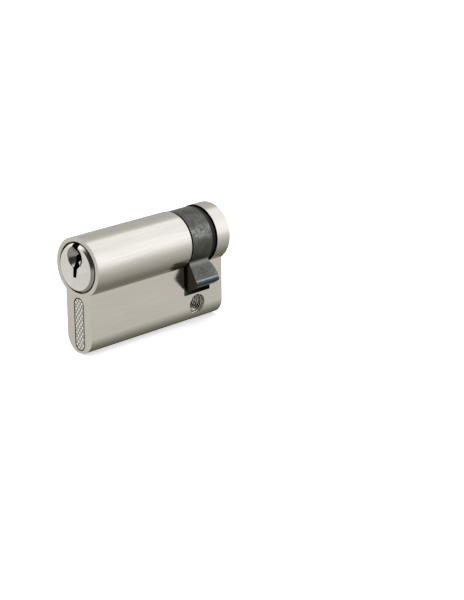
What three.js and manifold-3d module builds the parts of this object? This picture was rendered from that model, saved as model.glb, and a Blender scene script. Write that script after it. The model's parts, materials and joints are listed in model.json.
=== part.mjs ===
// Euro profile half cylinder, 40/10: one keyed side, a cam in the middle slot and a short solid stub.
// Millimetres, +Z up. The barrel's axis runs along Y and the key goes in at the -Y end.
// The origin is the centre of the threaded fixing hole, half way through the stem.

import * as THREE from 'three';
import { mergeVertices } from 'three/addons/utils/BufferGeometryUtils.js';
import Module from 'manifold-3d';

// ---- Driving dimensions ----

// Euro profile: heights marked "from the axis" are measured from the barrel's axis.
const AXIS_Z = 18.75;
const BARREL_R = 8.5;
const STEM_HALF_WIDTH = 5;
const STEM_BOTTOM = -24.5;
const FRONT_Y = -40;
const REAR_Y = 10;
const EDGE_CHAMFER = 0.25;

// Slot for the cam
const SLOT_HALF_WIDTH = 5.05;
const SLOT_FLOOR = -15.4;

// Fixing hole, bored to the thread's core
const FIXING_CORE_R = 2.1;
const FIXING_SINK_R = 2.9;

// Plug and its bore
const BORE_R = 6.6;
const SEAT_R = 7.25;
const SEAT_DEPTH = 1.2;
const PLUG_R = 6.45;
const HEAD_R = 6.8;
const HEAD_FACE_R = 6.2;
const HEAD_PROUD = 0.75;
const HEAD_BACK_GAP = 0.15;
const PLUG_REAR_Y = -5.1;
const TAIL_R = 5.2;
const TAIL_END_Y = 2.7;

// Retaining clip in its groove on the tail
const CLIP_FRONT_Y = -4.95;
const CLIP_THICKNESS = 0.45;
const CLIP_INNER_R = 4.6;
const CLIP_OUTER_R = 6.9;
const CLIP_GAP_ANGLE = Math.PI / 3;
const GROOVE_R = 4.4;
const GROOVE_SIDE_GAP = 0.1;

// Keyway, from the axis, as x and z seen from the key's side: up the right side and down the left one,
// stepped by the wards and open above
const KEYWAY_BOTTOM = -2.7;
const KEYWAY_RIGHT = [
  [0.2, KEYWAY_BOTTOM], [0.65, -0.4], [1.05, 0.4], [0.95, 0.8], [-0.3, 1.25], [0.05, 2.1], [0.15, 3.2],
];
const KEYWAY_LEFT = [[-0.55, 3.8], [-1.6, 2.8], [-1.1, 1.05], [-0.85, -0.4], [-1, KEYWAY_BOTTOM]];
const KEYWAY_OPEN_RIGHT = 1.3;
const KEYWAY_OPEN_RIGHT_FOOT = 4;
const KEYWAY_OPEN_LEFT = -1.1;
const KEYWAY_OPEN_LEFT_FOOT = 4.6;
const KEYWAY_END_Y = -6.6;

// Lead-in: a cone as deep as its radius, off the plug's centre
const LEAD_IN_R = 3;
const LEAD_IN_X = -0.1;
const LEAD_IN_Z = 3;

// Pins: five chambers, one line
const PIN_COUNT = 5;
const FIRST_PIN_Y = -32;
const PIN_PITCH = 5;
const CHAMBER_R = 1.5;
const CHAMBER_TOP = 0.3;
const PIN_R = 1.4;
const PIN_CHAMFER = 0.2;
const KEY_PIN_FOOT = -6.3;
const KEY_PIN_TIP_R = 0.55;
const KEY_PIN_CONE = 0.85;
const KEY_PIN_LENGTHS = [4.8, 5.8, 4.4, 6.2, 5.4];
const DRIVER_TOP = -6.6;
const STACK_LENGTH = 10.2;

// Springs and the stoppers that hold them in
const SPRING_R = 1.08;
const WIRE_R = 0.16;
const SPRING_TURNS = 8;
const STEPS_PER_TURN = 9;
const WIRE_SIDES = 5;
const SPRING_END_GAP = 0.05;
const STOPPER_R = 1.4;
const STOPPER_TOP = -22.3;

// Cam
const CAM_R = 8.3;
const CAM_FRONT_Y = -4.3;
const CAM_REAR_Y = 3.2;
const CAM_COLLAR_R = 8.15;
const CAM_COLLAR_END_Y = 4.75;
const CAM_BORE_R = 5.4;
const CAM_BORE_END_Y = 3.0;
const CAM_EYE_R = 2.5;
const LEVER_TIP_R = 15;
const LEVER_HALF_WIDTH = 2.8;
const LEVER_ROOT_R = 6;
const LEVER_FILLET_R = 1.3;
const LEVER_TIP_Y = 4.3;
const LEVER_ROOT_Y = 3;
const LEVER_SWELL_R = 12;
const LEVER_SWELL_Y = 5.1;
const LEVER_ANGLE = THREE.MathUtils.degToRad(30);

// Coupling bar
const BAR_HALF_LENGTH = 6.5;
const BAR_HALF_HEIGHT = 1.2;
const BAR_FRONT_Y = 0.5;
const BAR_REAR_Y = 2.6;
const BAR_GAP = 0.1;

// Engraved frame on the front of the stem
const FRAME_HALF_WIDTH = 2;
const FRAME_TOP = -8.5;
const FRAME_BOTTOM = -23.8;
const FRAME_LINE = 0.35;
const FRAME_DEPTH = 0.2;

// How far a cutting tool runs past the face it cuts, and the sides of round pieces
const OVERRUN = 1;
const SIDES_LARGE = 64;
const SIDES_MEDIUM = 32;
const SIDES_SMALL = 16;

// ---- Solids ----

const wasm = await Module();
wasm.setup();

function solid(geometry) {
  const bare = geometry.index ? geometry.toNonIndexed() : geometry.clone();
  bare.deleteAttribute('normal');
  bare.deleteAttribute('uv');
  const merged = mergeVertices(bare, 1e-4);
  return new wasm.Manifold(new wasm.Mesh({
    numProp: 3,
    vertProperties: new Float32Array(merged.attributes.position.array),
    triVerts: new Uint32Array(merged.index.array),
  }));
}

function geometryOf(body) {
  const mesh = body.getMesh();
  const geometry = new THREE.BufferGeometry();
  geometry.setAttribute('position', new THREE.BufferAttribute(mesh.vertProperties, 3));
  geometry.setIndex(new THREE.BufferAttribute(mesh.triVerts, 1));
  const faceted = geometry.toNonIndexed();
  faceted.computeVertexNormals();
  return faceted;
}

// A shape drawn in X and Z, as a solid from y0 to y1.
function prism(shape, y0, y1, curveSegments = SIDES_MEDIUM) {
  const geometry = new THREE.ExtrudeGeometry(shape, { depth: y1 - y0, bevelEnabled: false, curveSegments });
  return solid(geometry.rotateX(Math.PI / 2).translate(0, y1, 0));
}

// A cylinder along Y, round the barrel's axis.
function roundBar(radius, y0, y1, sides = SIDES_LARGE) {
  const geometry = new THREE.CylinderGeometry(radius, radius, y1 - y0, sides);
  return solid(geometry.translate(0, (y0 + y1) / 2, 0));
}

// A cone or cylinder that stands along Z.
function upright(topR, bottomR, z0, z1, x = 0, y = 0, sides = SIDES_SMALL) {
  const geometry = new THREE.CylinderGeometry(topR, bottomR, z1 - z0, sides);
  return solid(geometry.rotateX(Math.PI / 2).translate(x, y, (z0 + z1) / 2));
}

// A cylinder or cone along X.
function crossBar(leftR, rightR, x0, x1, z, sides = SIDES_MEDIUM) {
  const geometry = new THREE.CylinderGeometry(leftR, rightR, x1 - x0, sides);
  return solid(geometry.rotateZ(Math.PI / 2).translate((x0 + x1) / 2, 0, z));
}

function block(x0, x1, y0, y1, z0, z1) {
  const geometry = new THREE.BoxGeometry(x1 - x0, y1 - y0, z1 - z0);
  return solid(geometry.translate((x0 + x1) / 2, (y0 + y1) / 2, (z0 + z1) / 2));
}

// A closed profile of radius and y, turned round the barrel's axis.
function turned(profile, sides = SIDES_LARGE) {
  const points = profile.map(([r, y]) => new THREE.Vector2(r, y));
  return solid(new THREE.LatheGeometry(points, sides));
}

// ---- Materials ----

function metal(color, roughness) {
  return new THREE.MeshStandardMaterial({ color, roughness, metalness: 1 });
}

const satinNickel = () => metal(0xb9b4a8, 0.34);
const brightNickel = () => metal(0xc6c3bb, 0.26);
const darkSteel = () => metal(0x3f4446, 0.42);
const springSteel = () => metal(0x8f9396, 0.32);
const brass = () => metal(0xc9a352, 0.3);

function piece(name, geometry, material) {
  const mesh = new THREE.Mesh(geometry, material);
  mesh.name = name;
  return mesh;
}

// ---- Housing ----

// The height at which the flat sides of the stem meet the barrel
const SEAM_Z = -Math.sqrt(BARREL_R ** 2 - STEM_HALF_WIDTH ** 2);

function profileShape() {
  const seam = Math.asin(SEAM_Z / BARREL_R);
  const shape = new THREE.Shape();
  shape.absarc(0, 0, BARREL_R, seam, Math.PI - seam, false);
  shape.absarc(0, STEM_BOTTOM + STEM_HALF_WIDTH, STEM_HALF_WIDTH, Math.PI, 2 * Math.PI, false);
  shape.closePath();
  return shape;
}

function profileBody() {
  const geometry = new THREE.ExtrudeGeometry(profileShape(), {
    depth: REAR_Y - FRONT_Y - 2 * EDGE_CHAMFER,
    curveSegments: SIDES_MEDIUM,
    bevelEnabled: true,
    bevelThickness: EDGE_CHAMFER,
    bevelSize: EDGE_CHAMFER,
    bevelOffset: -EDGE_CHAMFER,
    bevelSegments: 1,
  });
  return solid(geometry.rotateX(Math.PI / 2).translate(0, REAR_Y - EDGE_CHAMFER, 0));
}

function stadium(halfWidth, bottom, top) {
  const shape = new THREE.Shape();
  shape.absarc(0, top - halfWidth, halfWidth, 0, Math.PI, false);
  shape.absarc(0, bottom + halfWidth, halfWidth, Math.PI, 2 * Math.PI, false);
  shape.closePath();
  return shape;
}

function engravedFrame() {
  const inset = FRAME_LINE;
  const outer = stadium(FRAME_HALF_WIDTH, FRAME_BOTTOM, FRAME_TOP);
  const inner = stadium(FRAME_HALF_WIDTH - inset, FRAME_BOTTOM + inset, FRAME_TOP - inset);
  const segments = SIDES_SMALL / 2;
  const deep = FRONT_Y + FRAME_DEPTH;
  const band = prism(outer, FRONT_Y - OVERRUN, deep, segments);
  return band.subtract(prism(inner, FRONT_Y - 2 * OVERRUN, deep + OVERRUN, segments));
}

function fixingHole() {
  const sink = FIXING_SINK_R - FIXING_CORE_R;
  const past = STEM_HALF_WIDTH + OVERRUN;
  const wide = FIXING_SINK_R + OVERRUN;
  const near = STEM_HALF_WIDTH - sink;
  const core = crossBar(FIXING_CORE_R, FIXING_CORE_R, -past, past, -AXIS_Z);
  const right = crossBar(FIXING_CORE_R, wide, near, past, -AXIS_Z);
  const left = crossBar(wide, FIXING_CORE_R, -past, -near, -AXIS_Z);
  return core.add(right).add(left);
}

function pinY(index) {
  return FIRST_PIN_Y + index * PIN_PITCH;
}

function housing() {
  let body = profileBody();
  const wide = BARREL_R + OVERRUN;
  body = body.subtract(block(-wide, wide, -SLOT_HALF_WIDTH, SLOT_HALF_WIDTH, SLOT_FLOOR, wide));
  body = body.subtract(roundBar(BORE_R, FRONT_Y - OVERRUN, 0));
  body = body.subtract(roundBar(SEAT_R, FRONT_Y - OVERRUN, FRONT_Y + SEAT_DEPTH));
  body = body.subtract(fixingHole());
  body = body.subtract(engravedFrame());
  for (let i = 0; i < PIN_COUNT; i++) {
    body = body.subtract(upright(CHAMBER_R, CHAMBER_R, STEM_BOTTOM - OVERRUN, -PLUG_R + OVERRUN, 0, pinY(i)));
  }
  return piece('housing', geometryOf(body), satinNickel());
}

// The stoppers are ground off flush with the round bottom of the stem.
function chamberPlug(index) {
  const rounding = roundBar(STEM_HALF_WIDTH, FRONT_Y, REAR_Y).translate(0, 0, STEM_BOTTOM + STEM_HALF_WIDTH);
  const pin = upright(STOPPER_R, STOPPER_R, STEM_BOTTOM - OVERRUN, STOPPER_TOP, 0, pinY(index));
  return piece(`chamber_plug_${index + 1}`, geometryOf(pin.intersect(rounding)), satinNickel());
}

// ---- Plug ----

function turnedPlug() {
  const face = FRONT_Y - HEAD_PROUD;
  const headBack = FRONT_Y + SEAT_DEPTH - HEAD_BACK_GAP;
  const grooveFront = CLIP_FRONT_Y - GROOVE_SIDE_GAP;
  const grooveRear = CLIP_FRONT_Y + CLIP_THICKNESS + GROOVE_SIDE_GAP;
  return turned([
    [0, face],
    [HEAD_FACE_R, face],
    [HEAD_R, FRONT_Y],
    [HEAD_R, headBack],
    [PLUG_R, headBack],
    [PLUG_R, PLUG_REAR_Y],
    [TAIL_R, PLUG_REAR_Y],
    [TAIL_R, grooveFront],
    [GROOVE_R, grooveFront],
    [GROOVE_R, grooveRear],
    [TAIL_R, grooveRear],
    [TAIL_R, TAIL_END_Y],
    [0, TAIL_END_Y],
  ]);
}

function keywayShape() {
  const above = HEAD_R + OVERRUN;
  const outline = [
    ...KEYWAY_RIGHT,
    [KEYWAY_OPEN_RIGHT, KEYWAY_OPEN_RIGHT_FOOT],
    [KEYWAY_OPEN_RIGHT, above],
    [KEYWAY_OPEN_LEFT, above],
    [KEYWAY_OPEN_LEFT, KEYWAY_OPEN_LEFT_FOOT],
    ...KEYWAY_LEFT,
  ];
  return new THREE.Shape(outline.map(([x, z]) => new THREE.Vector2(x, z)));
}

function leadIn(face) {
  const cone = turned([[0, face - OVERRUN], [LEAD_IN_R + OVERRUN, face - OVERRUN], [0, face + LEAD_IN_R]]);
  return cone.translate(LEAD_IN_X, 0, LEAD_IN_Z);
}

function couplingSlot(gap) {
  const height = BAR_HALF_HEIGHT + gap;
  const wide = TAIL_R + OVERRUN;
  return block(-wide, wide, BAR_FRONT_Y - gap, TAIL_END_Y + OVERRUN, -height, height);
}

function plug() {
  const face = FRONT_Y - HEAD_PROUD;
  let body = turnedPlug();
  body = body.subtract(prism(keywayShape(), face - OVERRUN, KEYWAY_END_Y));
  body = body.subtract(leadIn(face));
  body = body.subtract(couplingSlot(BAR_GAP));
  for (let i = 0; i < PIN_COUNT; i++) {
    body = body.subtract(upright(CHAMBER_R, CHAMBER_R, -PLUG_R - OVERRUN, CHAMBER_TOP, 0, pinY(i)));
  }
  return piece('plug', geometryOf(body), brightNickel());
}

function retainingClip() {
  const half = CLIP_GAP_ANGLE / 2;
  const start = -Math.PI / 2 + half;
  const end = 1.5 * Math.PI - half;
  const shape = new THREE.Shape();
  shape.absarc(0, 0, CLIP_OUTER_R, start, end, false);
  shape.absarc(0, 0, CLIP_INNER_R, end, start, true);
  shape.closePath();
  const body = prism(shape, CLIP_FRONT_Y, CLIP_FRONT_Y + CLIP_THICKNESS);
  return piece('retaining_clip', geometryOf(body), springSteel());
}

function couplingBar() {
  const [length, height] = [BAR_HALF_LENGTH, BAR_HALF_HEIGHT];
  const bar = block(-length, length, BAR_FRONT_Y, BAR_REAR_Y, -height, height);
  return piece('cam_coupling', geometryOf(bar), springSteel());
}

// ---- Cam, drawn with its lever straight down ----

function camRing() {
  return turned([
    [CAM_BORE_R, CAM_FRONT_Y],
    [CAM_R, CAM_FRONT_Y],
    [CAM_R, CAM_REAR_Y],
    [CAM_COLLAR_R, CAM_REAR_Y],
    [CAM_COLLAR_R, CAM_COLLAR_END_Y],
    [CAM_EYE_R, CAM_COLLAR_END_Y],
    [CAM_EYE_R, CAM_BORE_END_Y],
    [CAM_BORE_R, CAM_BORE_END_Y],
    [CAM_BORE_R, CAM_FRONT_Y],
  ]);
}

// The lever along the axis: parallel sides that run into the ring with a fillet, and a round tip.
function leverOutline() {
  const filletX = LEVER_HALF_WIDTH + LEVER_FILLET_R;
  const filletZ = -Math.sqrt((CAM_R + LEVER_FILLET_R) ** 2 - filletX ** 2);
  const toRing = Math.atan2(-filletZ, filletX);
  const tip = Math.asin(LEVER_HALF_WIDTH / LEVER_TIP_R);
  const shape = new THREE.Shape();
  shape.moveTo(0, -LEVER_ROOT_R);
  shape.absarc(-filletX, filletZ, LEVER_FILLET_R, toRing, 0, true);
  shape.absarc(0, 0, LEVER_TIP_R, -Math.PI / 2 - tip, -Math.PI / 2 + tip, false);
  shape.absarc(filletX, filletZ, LEVER_FILLET_R, Math.PI, Math.PI - toRing, true);
  shape.closePath();
  return shape;
}

// The lever from the side: square at the front, and swelling to the rear beyond the ring.
function leverSide() {
  const shape = new THREE.Shape();
  shape.moveTo(CAM_FRONT_Y, -LEVER_ROOT_R + OVERRUN);
  shape.lineTo(CAM_FRONT_Y, -LEVER_TIP_R - OVERRUN);
  shape.lineTo(LEVER_TIP_Y, -LEVER_TIP_R - OVERRUN);
  shape.lineTo(LEVER_TIP_Y, -LEVER_TIP_R);
  shape.quadraticCurveTo(LEVER_SWELL_Y, -LEVER_SWELL_R, LEVER_ROOT_Y, -CAM_R);
  shape.lineTo(LEVER_ROOT_Y, -LEVER_ROOT_R + OVERRUN);
  shape.closePath();
  return shape;
}

function camLever() {
  const wide = LEVER_TIP_R;
  const side = new THREE.ExtrudeGeometry(leverSide(), {
    depth: 2 * wide,
    bevelEnabled: false,
    curveSegments: SIDES_SMALL / 2,
  });
  side.rotateX(Math.PI / 2).rotateZ(Math.PI / 2).translate(-wide, 0, 0);
  const lever = prism(leverOutline(), CAM_FRONT_Y, SLOT_HALF_WIDTH, SIDES_SMALL / 2);
  const clear = roundBar(CAM_R - OVERRUN, CAM_FRONT_Y - OVERRUN, SLOT_HALF_WIDTH + OVERRUN);
  return lever.intersect(solid(side)).subtract(clear);
}

// Two notches across the bore, which lie level once the cam is turned into its place
function couplingNotches() {
  const height = BAR_HALF_HEIGHT + BAR_GAP;
  const reach = BAR_HALF_LENGTH + BAR_GAP;
  const notch = block(-reach, reach, CAM_FRONT_Y - OVERRUN, CAM_BORE_END_Y, -height, height);
  return notch.rotate([0, THREE.MathUtils.radToDeg(LEVER_ANGLE), 0]);
}

function cam() {
  const body = camRing().add(camLever()).subtract(couplingNotches());
  const mesh = piece('cam', geometryOf(body), darkSteel());
  mesh.rotation.y = -LEVER_ANGLE;
  return mesh;
}

// ---- Pins and springs ----

function keyPin(index) {
  const tip = KEY_PIN_FOOT + KEY_PIN_LENGTHS[index];
  const profile = [
    [0, KEY_PIN_FOOT],
    [PIN_R - PIN_CHAMFER, KEY_PIN_FOOT],
    [PIN_R, KEY_PIN_FOOT + PIN_CHAMFER],
    [PIN_R, tip - KEY_PIN_CONE],
    [KEY_PIN_TIP_R, tip],
    [0, tip],
  ];
  return pinFrom(`key_pin_${index + 1}`, profile, index, brass());
}

function driverFoot(index) {
  return DRIVER_TOP - (STACK_LENGTH - KEY_PIN_LENGTHS[index]);
}

function driverPin(index) {
  const foot = driverFoot(index);
  const profile = [
    [0, foot],
    [PIN_R - PIN_CHAMFER, foot],
    [PIN_R, foot + PIN_CHAMFER],
    [PIN_R, DRIVER_TOP - PIN_CHAMFER],
    [PIN_R - PIN_CHAMFER, DRIVER_TOP],
    [0, DRIVER_TOP],
  ];
  return pinFrom(`driver_pin_${index + 1}`, profile, index, springSteel());
}

function pinFrom(name, profile, index, material) {
  const body = turned(profile, SIDES_SMALL).rotate([90, 0, 0]);
  const mesh = piece(name, geometryOf(body), material);
  mesh.position.y = pinY(index);
  return mesh;
}

class Helix extends THREE.Curve {
  constructor(radius, length, turns) {
    super();
    this.radius = radius;
    this.length = length;
    this.turns = turns;
  }

  getPoint(t, target = new THREE.Vector3()) {
    const angle = 2 * Math.PI * this.turns * t;
    return target.set(this.radius * Math.cos(angle), this.radius * Math.sin(angle), this.length * t);
  }
}

function wireSection() {
  const points = [];
  for (let i = 0; i < WIRE_SIDES; i++) {
    const angle = (2 * Math.PI * i) / WIRE_SIDES;
    points.push(new THREE.Vector2(WIRE_R * Math.cos(angle), WIRE_R * Math.sin(angle)));
  }
  return new THREE.Shape(points);
}

function spring(index) {
  const bottom = STOPPER_TOP + SPRING_END_GAP + WIRE_R;
  const top = driverFoot(index) - SPRING_END_GAP - WIRE_R;
  const geometry = new THREE.ExtrudeGeometry(wireSection(), {
    steps: SPRING_TURNS * STEPS_PER_TURN,
    bevelEnabled: false,
    extrudePath: new Helix(SPRING_R, top - bottom, SPRING_TURNS),
  });
  const mesh = piece(`spring_${index + 1}`, geometryOf(solid(geometry)), springSteel());
  mesh.position.set(0, pinY(index), bottom);
  return mesh;
}

// ---- Assembly ----

const cylinder = new THREE.Group();
cylinder.position.z = AXIS_Z;

const rotor = new THREE.Group();
rotor.add(plug(), retainingClip(), couplingBar());

cylinder.add(housing(), rotor, cam());

for (let i = 0; i < PIN_COUNT; i++) {
  rotor.add(keyPin(i));
  cylinder.add(driverPin(i), spring(i), chamberPlug(i));
}

const group = new THREE.Group();
group.add(cylinder);

export default group;
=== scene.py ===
import json
import math

import bmesh
import bpy
from mathutils import Matrix, Vector


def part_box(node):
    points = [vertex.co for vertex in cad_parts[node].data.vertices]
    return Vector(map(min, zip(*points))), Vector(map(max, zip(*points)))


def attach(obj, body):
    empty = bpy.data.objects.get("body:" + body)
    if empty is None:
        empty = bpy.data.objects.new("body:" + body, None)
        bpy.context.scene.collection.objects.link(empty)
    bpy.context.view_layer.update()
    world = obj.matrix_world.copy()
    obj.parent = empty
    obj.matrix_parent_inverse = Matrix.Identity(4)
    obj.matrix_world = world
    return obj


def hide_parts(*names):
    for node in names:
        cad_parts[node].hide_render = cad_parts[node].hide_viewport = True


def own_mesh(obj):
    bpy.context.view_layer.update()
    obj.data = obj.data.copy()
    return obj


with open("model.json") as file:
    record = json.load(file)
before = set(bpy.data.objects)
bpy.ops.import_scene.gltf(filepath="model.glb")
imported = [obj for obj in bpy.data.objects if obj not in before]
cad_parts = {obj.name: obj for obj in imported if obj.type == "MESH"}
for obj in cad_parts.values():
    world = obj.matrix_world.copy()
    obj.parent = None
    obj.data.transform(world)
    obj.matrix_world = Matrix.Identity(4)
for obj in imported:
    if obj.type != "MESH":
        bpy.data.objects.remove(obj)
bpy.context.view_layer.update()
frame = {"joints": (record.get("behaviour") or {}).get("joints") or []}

# ---- Places and sizes (metres) ----

MM = 0.001
MICRON = 1e-6
TURN = 2 * math.pi
ROUND = 160

JOINTS = {joint["name"]: joint for joint in frame["joints"]}
AXIS_Z = JOINTS["plug_turn"]["pos_m"][2]
HOUSING_LOW, HOUSING_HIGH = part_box("housing")
PLUG_LOW, PLUG_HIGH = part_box("plug")
CAM_LOW, CAM_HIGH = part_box("cam")
PIN_COUNT = sum(name.startswith("key_pin_slide") for name in JOINTS)

# How far a cutting tool reaches past what it cuts
PAST = MM

# Euro profile: a round barrel on a flat stem with a round bottom
FRONT_Y, REAR_Y = HOUSING_LOW.y, HOUSING_HIGH.y
BARREL_R = HOUSING_HIGH.x
STEM_BOTTOM = HOUSING_LOW.z
STEM_HALF = 5 * MM
STEM_ROUND_Z = STEM_BOTTOM + STEM_HALF

# Slot for the cam, and the plug's bore with the wider seat for its head
SLOT_HALF = 5.05 * MM
SLOT_FLOOR = 3.35 * MM
BORE_R = 6.6 * MM
SEAT_R = 7.25 * MM
SEAT_DEPTH = 1.2 * MM

# Fixing hole: an M5 thread between two sunk mouths
THREAD_PITCH = 0.8 * MM
THREAD_CORE_R = 2.1 * MM
THREAD_ROOT_R = 2.5 * MM
THREAD_HALF = 3.55 * MM
HOLE_R = 2.62 * MM
MOUTH_R = 2.9 * MM
MOUTH_DEPTH = 1.35 * MM

# Pin chambers, with their top in the plug measured from the axis
CHAMBER_R = 1.5 * MM
CHAMBER_TOP = 0.3 * MM

# Frame engraved on the front of the stem, from the axis, and the raised field in it
FRAME_HALF = 2.0 * MM
FRAME_TOP = -8.5 * MM
FRAME_BOTTOM = -23.8 * MM
FRAME_LINE = 0.34 * MM
POCKET_DEPTH = 0.36 * MM
KNURL_DEPTH = 0.16 * MM
KNURL_WIDE = 1.20 * MM
KNURL_TALL = 1.70 * MM
KNURL_STEPS = 8
KNURL_SLOPE = 4
PAD_BACKING = 0.2 * MM
PAD_MIDDLE = AXIS_Z + (FRAME_TOP + FRAME_BOTTOM) / 2
PAD_REACH = (FRAME_TOP - FRAME_BOTTOM) / 2 - FRAME_HALF

# Plug
FACE_Y = PLUG_LOW.y
PLUG_R = 6.45 * MM
FACE_R = 6.2 * MM
HEAD_R = 6.8 * MM
HEAD_BACK_GAP = 0.15 * MM
SHOULDER_Y = -5.1 * MM
TAIL_R = 5.2 * MM
GROOVE_R = 4.4 * MM
SIDE_GAP = 0.1 * MM

# Keyway, from the axis, as x and z in millimetres: up the right side and down the left one,
# stepped by the wards and open above
KEYWAY_BOTTOM = -2.7
KEYWAY_RIGHT = [
    (0.2, KEYWAY_BOTTOM), (0.65, -0.4), (1.05, 0.4), (0.95, 0.8), (-0.3, 1.25), (0.05, 2.1), (0.15, 3.2)]
KEYWAY_LEFT = [(-0.55, 3.8), (-1.6, 2.8), (-1.1, 1.05), (-0.85, -0.4), (-1, KEYWAY_BOTTOM)]
KEYWAY_OPEN_RIGHT, KEYWAY_OPEN_RIGHT_FOOT = 1.3, 4
KEYWAY_OPEN_LEFT, KEYWAY_OPEN_LEFT_FOOT = -1.1, 4.6
KEYWAY_END = -6.6 * MM

# Lead-in: a cone as deep as its radius with a short straight lip, off the plug's centre
LEAD_IN_R = 3 * MM
LEAD_IN_X = -0.1 * MM
LEAD_IN_Z = 3 * MM
LEAD_IN_LIP = 0.22 * MM
LEAD_IN_POINT = 0.01 * MM

# Retaining clip: an open ring with an eye near each end
CLIP_INNER_R = 4.6 * MM
CLIP_OUTER_R = 6.9 * MM
CLIP_HALF_GAP = math.radians(30)
CLIP_EYE_R = 0.55 * MM
CLIP_EYE_TURN = 0.22

# Cam: a ring with a collar behind, a notch for the coupling bar and a lever
CAM_R = 8.3 * MM
CAM_BORE_R = 5.4 * MM
CAM_BORE_Y = 3.0 * MM
CAM_EYE_R = 2.5 * MM
CAM_SIDES = 192
COLLAR_R = 8.15 * MM
COLLAR_Y = 3.2 * MM
NOTCH_REACH = 6.6 * MM
NOTCH_HALF = 1.3 * MM
LEVER_R = 15 * MM
LEVER_TURN = math.radians(30)
LEVER_HALF = 2.8 * MM
LEVER_FILLET = 1.3 * MM
LEVER_CORNER = 0.75 * MM
LEVER_TOP = -6 * MM
LEVER_ROOT_Y = 3.0 * MM
LEVER_SWELL_R = 12 * MM
LEVER_SWELL_Y = 5.1 * MM
LEVER_TIP_Y = 4.3 * MM

# Pins, springs and stoppers
KEY_PIN_CONE = 0.85 * MM
KEY_PIN_TIP_R = 0.5 * MM
PIN_CHAMFER = 0.2 * MM
PIN_SIDES = 64
WAIST_DEPTH = 0.25 * MM
WAIST_HALF = 0.5 * MM
WAIST_HALF_OUT = 0.8 * MM
WIRE_R = 0.16 * MM
COIL_R = 1.08 * MM
COIL_TURNS = 10
COIL_STEPS = 28
WIRE_SIDES = 10
COIL_GAP = 0.02 * MM
STOPPER_INSET = 0.02 * MM

# Rounding of the edges
HOUSING_EDGE = 0.16 * MM
PLUG_EDGE = 0.09 * MM
CAM_EDGE = 0.13 * MM
BAR_EDGE = 0.2 * MM
THIN_EDGE = 0.06 * MM
KEY_PIN_EDGE = 0.05 * MM
DRIVER_PIN_EDGE = 0.04 * MM
EDGE_ANGLE = math.radians(32)
PIN_EDGE_ANGLE = math.radians(20)


# ---- Mesh helpers ----

def new_object(name, data):
    piece = bpy.data.objects.new(name, data)
    bpy.context.scene.collection.objects.link(piece)
    return piece


def mesh_object(name, vertices, faces):
    mesh = bpy.data.meshes.new(name)
    mesh.from_pydata([tuple(v) for v in vertices], [], faces)
    mesh.validate()
    piece = new_object(name, mesh)
    face_outward(piece)
    return piece


def face_outward(piece):
    work = bmesh.new()
    work.from_mesh(piece.data)
    bmesh.ops.recalc_face_normals(work, faces=work.faces)
    work.to_mesh(piece.data)
    work.free()


def apply_modifiers(piece):
    graph = bpy.context.evaluated_depsgraph_get()
    mesh = bpy.data.meshes.new_from_object(piece.evaluated_get(graph), depsgraph=graph)
    old = piece.data
    piece.modifiers.clear()
    piece.data = mesh
    bpy.data.meshes.remove(old)


def join_solid(piece, other, operation):
    """A boolean between two closed meshes. The second one is used up."""
    step = piece.modifiers.new(operation, "BOOLEAN")
    step.object = other
    step.operation = operation
    step.solver = "EXACT"
    apply_modifiers(piece)
    mesh = other.data
    bpy.data.objects.remove(other)
    bpy.data.meshes.remove(mesh)
    return piece


def cut(piece, tool):
    return join_solid(piece, tool, "DIFFERENCE")


def join_shells(piece, others):
    """Puts closed shells into one object, each as it is."""
    work = bmesh.new()
    work.from_mesh(piece.data)
    for other in others:
        work.from_mesh(other.data)
    work.to_mesh(piece.data)
    work.free()
    for other in others:
        bpy.data.objects.remove(other)


def clean(piece, flat=math.radians(0.3), doubled=1e-7):
    """Joins doubled points and the pieces of flat faces that a boolean leaves."""
    work = bmesh.new()
    work.from_mesh(piece.data)
    bmesh.ops.remove_doubles(work, verts=work.verts, dist=doubled)
    bmesh.ops.dissolve_limit(work, angle_limit=flat, verts=work.verts, edges=work.edges)
    work.to_mesh(piece.data)
    work.free()


def soften(piece, width, segments=3, angle=EDGE_ANGLE):
    """Rounds the true edges."""
    step = piece.modifiers.new("edges", "BEVEL")
    step.width = width
    step.segments = segments
    step.limit_method = "ANGLE"
    step.angle_limit = angle
    step.use_clamp_overlap = True
    step.miter_outer = "MITER_ARC"
    apply_modifiers(piece)


def shade(piece, angle=math.radians(34), flat_weight=60):
    """Smooth shading that keeps true edges, with flat faces kept flat."""
    mesh = piece.data
    for polygon in mesh.polygons:
        polygon.use_smooth = True
    mesh.set_sharp_from_angle(angle=angle)
    step = piece.modifiers.new("flats", "WEIGHTED_NORMAL")
    step.keep_sharp = True
    step.weight = flat_weight
    apply_modifiers(piece)


def place(piece, body, slot, material, *nodes):
    piece.data.materials.clear()
    piece.data.materials.append(material)
    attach(piece, body)
    if nodes:
        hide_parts(*nodes)
    return piece


def middle_y(low, high):
    return (low.y + high.y) / 2


def pin_y(index):
    return middle_y(*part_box(f"driver_pin_{index + 1}"))


# ---- Basic shapes ----

def arc(cx, cz, radius, start, end, steps):
    points = []
    for i in range(steps + 1):
        a = start + (end - start) * i / steps
        points.append((cx + radius * math.cos(a), cz + radius * math.sin(a)))
    return points


def circle(cx, cz, radius, steps):
    return arc(cx, cz, radius, 0, TURN, steps)[:-1]


def extruded_faces(count):
    """The faces between an outline of count points and its copy, with both ends."""
    faces = [tuple(range(count)), tuple(range(2 * count - 1, count - 1, -1))]
    for i in range(count):
        j = (i + 1) % count
        faces.append((i, j, count + j, count + i))
    return faces


def stacked_faces(rings, sides):
    """The faces of a stack of rings of points, closed at both ends."""
    faces = []
    for k in range(rings - 1):
        for i in range(sides):
            j = (i + 1) % sides
            faces.append((k * sides + i, k * sides + j, (k + 1) * sides + j, (k + 1) * sides + i))
    faces.append(tuple(range(sides)))
    faces.append(tuple((rings - 1) * sides + i for i in range(sides)))
    return faces


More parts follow.
